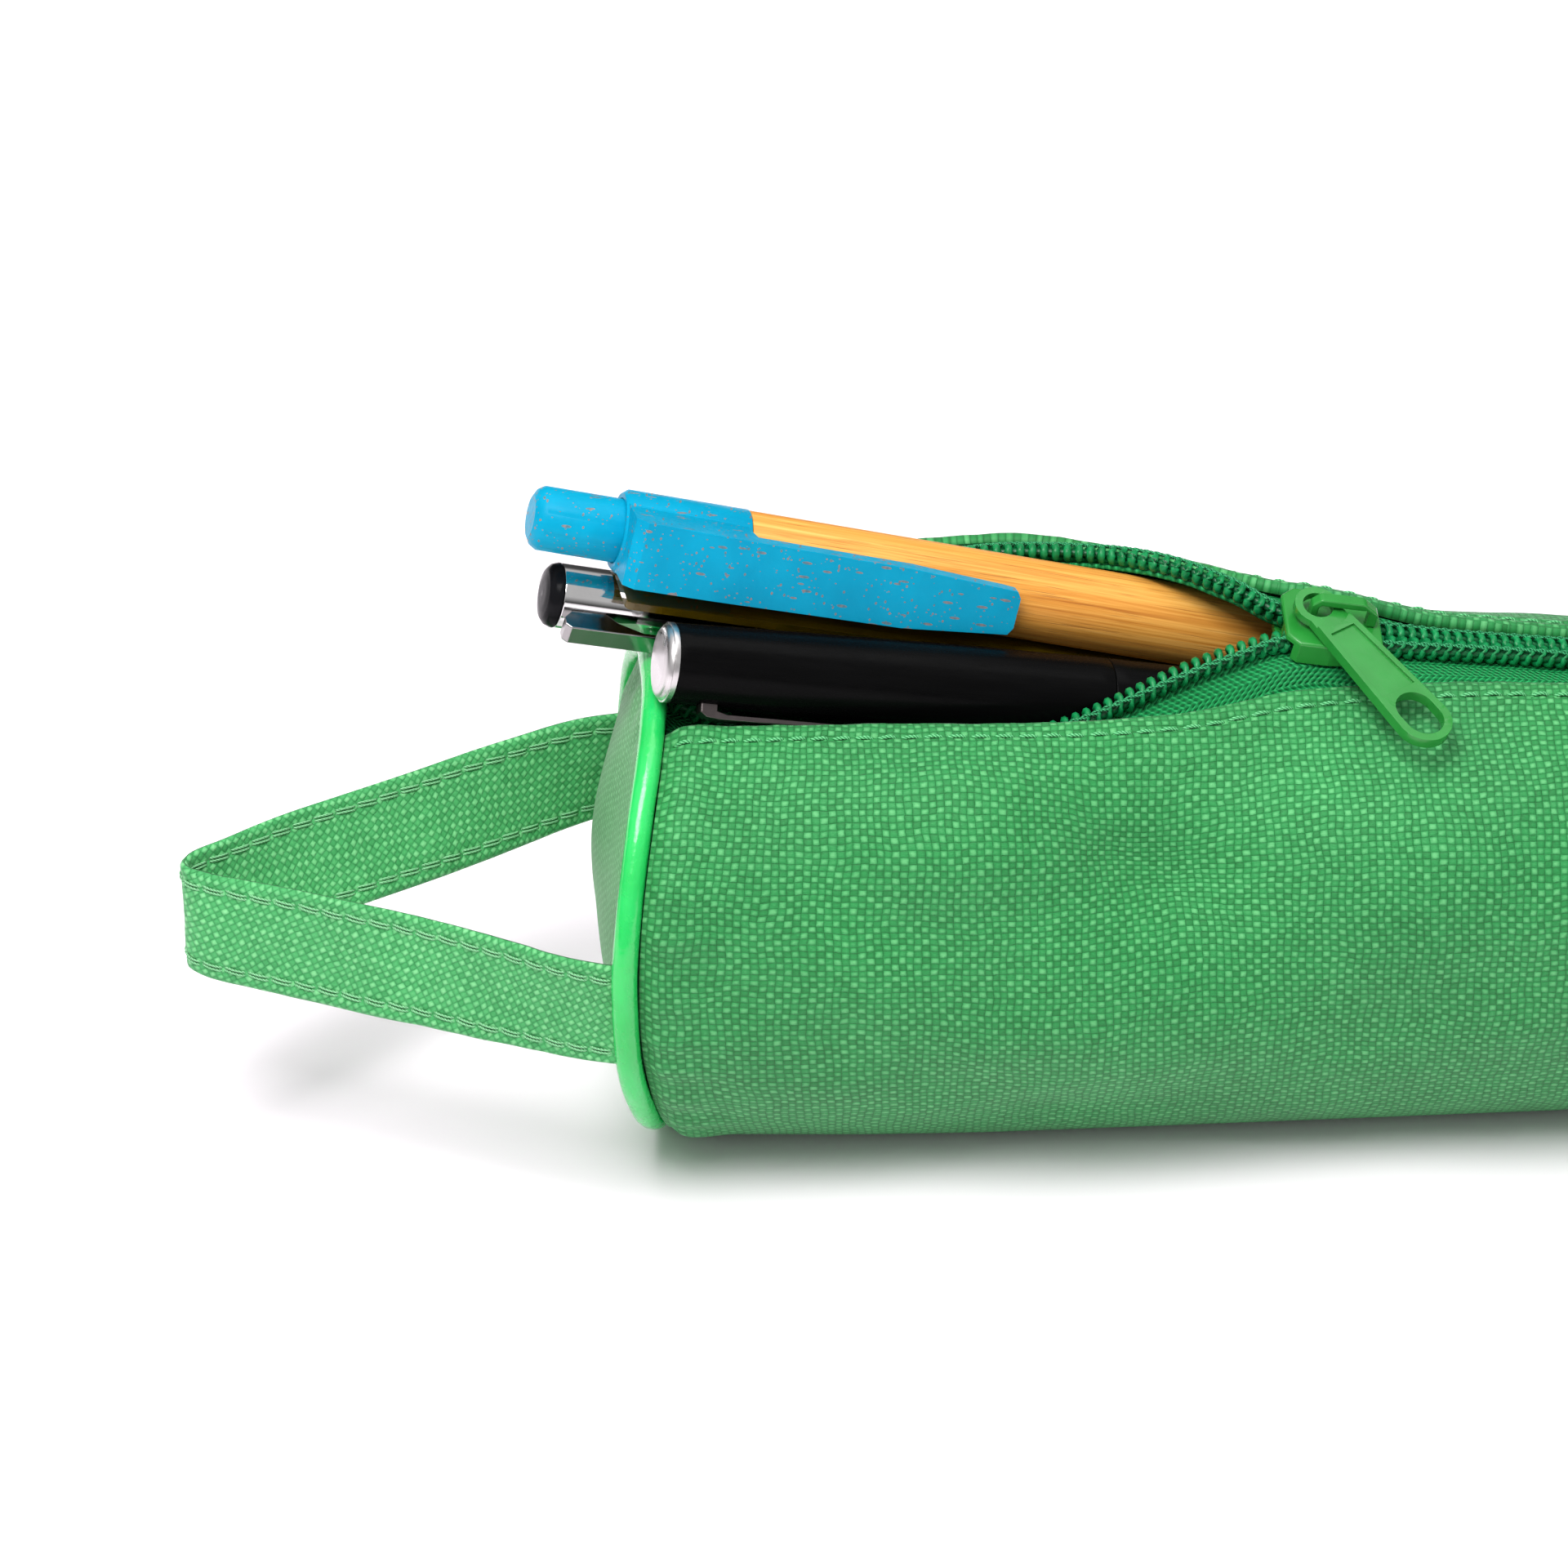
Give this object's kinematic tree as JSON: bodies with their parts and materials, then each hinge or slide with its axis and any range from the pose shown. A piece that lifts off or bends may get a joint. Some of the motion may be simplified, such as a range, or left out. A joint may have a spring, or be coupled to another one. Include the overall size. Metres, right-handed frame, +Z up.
{
  "type": "pencil case",
  "caption": "Soft tube-shaped pencil case with a half-open zip, piped round ends and a loop handle, holding pens and a ruler that slide out of its mouth.",
  "frame": {"origin": "on the surface that the case rests on, under the middle of its tube", "axes": "+X along the tube from the loop handle's end to the plain end, +Z up, +Y to the back, where the higher hem of the mouth is"},
  "size_m": [0.2609, 0.0638, 0.0861],
  "materials": {
    "woven_cloth": "plain weave, matt",
    "end_cloth": "plain weave, matt",
    "piping": "smooth vinyl cord",
    "zip_tape": "woven zip tape",
    "zip_coil": "nylon coil",
    "slider": "enamelled die casting",
    "blue_plastic": "speckled straw-filled plastic",
    "bamboo": "clear-varnished bamboo",
    "inner_plastic": "plain moulding",
    "spring_steel": "drawn wire",
    "brass": "turned",
    "refill": "clear tube filled with ink",
    "black_gloss": "gloss lacquer",
    "satin_silver": "satin plate",
    "dark_chrome": "dark plate",
    "chrome": "bright plate",
    "amber_plastic": "clear tinted sheet"
  },
  "bodies": {
    "case": {"body_panel": "woven_cloth", "handle_end_disc": "end_cloth", "plain_end_disc": "end_cloth", "handle_end_piping": "piping", "plain_end_piping": "piping", "handle_end_binding": "zip_tape", "plain_end_binding": "zip_tape", "front_zip_tape": "zip_tape", "rear_zip_tape": "zip_tape", "front_zip_coil": "zip_coil", "rear_zip_coil": "zip_coil", "handle_loop": "woven_cloth"},
    "zip_slider": {"slider_body": "slider", "slider_bridge": "slider"},
    "pull_tab": {"pull_tab": "slider"},
    "bamboo_pen": {"bamboo_pen_barrel": "bamboo", "bamboo_pen_clip_collar": "blue_plastic", "bamboo_pen_cam_sleeve": "inner_plastic", "bamboo_pen_nose_cone": "blue_plastic", "bamboo_pen_return_spring": "spring_steel"},
    "bamboo_pen_button": {"bamboo_pen_push_button": "blue_plastic"},
    "bamboo_pen_refill": {"bamboo_pen_cam_rotor": "inner_plastic", "bamboo_pen_refill_tube": "refill", "bamboo_pen_refill_point": "brass"},
    "black_pen_top": {"black_pen_upper_barrel": "black_gloss", "black_pen_end_plug": "satin_silver", "black_pen_clip": "dark_chrome", "black_pen_twist_sleeve": "inner_plastic"},
    "black_pen_bottom": {"black_pen_lower_barrel": "black_gloss", "black_pen_nose_cone": "satin_silver"},
    "black_pen_refill": {"black_pen_refill": "brass"},
    "rollerball": {"rollerball_barrel": "chrome", "rollerball_grip": "black_gloss", "rollerball_point": "brass"},
    "rollerball_cap": {"rollerball_cap_tube": "chrome", "rollerball_cap_finial": "black_gloss", "rollerball_cap_clip": "chrome", "rollerball_cap_liner": "inner_plastic"},
    "ruler": {"ruler": "amber_plastic"}
  },
  "joints": [
    {"name": "slider_travel", "type": "hinge", "parent": "case", "child": "zip_slider", "pos_m": [0.0555, 0, 0.448], "axis": [0, -1, 0], "range_deg": [0, 9], "deforming": ["front_zip_coil", "rear_zip_coil", "front_zip_tape", "rear_zip_tape"]},
    {"name": "pull_tab_swing", "type": "hinge", "parent": "zip_slider", "child": "pull_tab", "pos_m": [-0.01282, -0.0008, 0.06886], "axis": [0.1604, -0.3502, 0.9228], "range_deg": [-60, 0]},
    {"name": "bamboo_pen_draw", "type": "slide", "parent": "case", "child": "bamboo_pen", "axis": [-0.96, -0.0912, 0.2646], "range_m": [0, 0.1]},
    {"name": "bamboo_button_press", "type": "slide", "parent": "bamboo_pen", "child": "bamboo_pen_button", "axis": [0.96, 0.0912, -0.2646], "range_m": [0, 0.004], "stiffness_N_per_m": 300, "springref_m": -0.005},
    {"name": "bamboo_refill_advance", "type": "slide", "parent": "bamboo_pen", "child": "bamboo_pen_refill", "axis": [0.96, 0.0912, -0.2646], "range_m": [0, 0.004], "deforming": ["bamboo_pen_return_spring"]},
    {"name": "black_pen_draw", "type": "slide", "parent": "case", "child": "black_pen_top", "axis": [-0.9672, -0.1335, 0.2162], "range_m": [0, 0.1]},
    {"name": "black_pen_twist", "type": "hinge", "parent": "black_pen_top", "child": "black_pen_bottom", "pos_m": [-0.03939, -0.00041, 0.0561], "axis": [0.9672, 0.1335, -0.2162], "range_deg": [0, 180]},
    {"name": "black_refill_advance", "type": "slide", "parent": "black_pen_bottom", "child": "black_pen_refill", "axis": [0.9672, 0.1335, -0.2162], "range_m": [0, 0.003]},
    {"name": "rollerball_draw", "type": "slide", "parent": "case", "child": "rollerball", "axis": [-0.9548, -0.1384, 0.2631], "range_m": [0, 0.1]},
    {"name": "rollerball_cap_pull", "type": "slide", "parent": "rollerball", "child": "rollerball_cap", "axis": [-0.9548, -0.1384, 0.2631], "range_m": [0, 0.045]},
    {"name": "ruler_draw", "type": "slide", "parent": "case", "child": "ruler", "axis": [-0.9554, -0.1338, 0.2633], "range_m": [0, 0.06]}
  ],
  "couplings": [
    {"joint": "bamboo_refill_advance", "follows": "bamboo_button_press", "ratio": 1},
    {"joint": "black_refill_advance", "follows": "black_pen_twist", "m_per_rad": 0.00095}
  ]
}
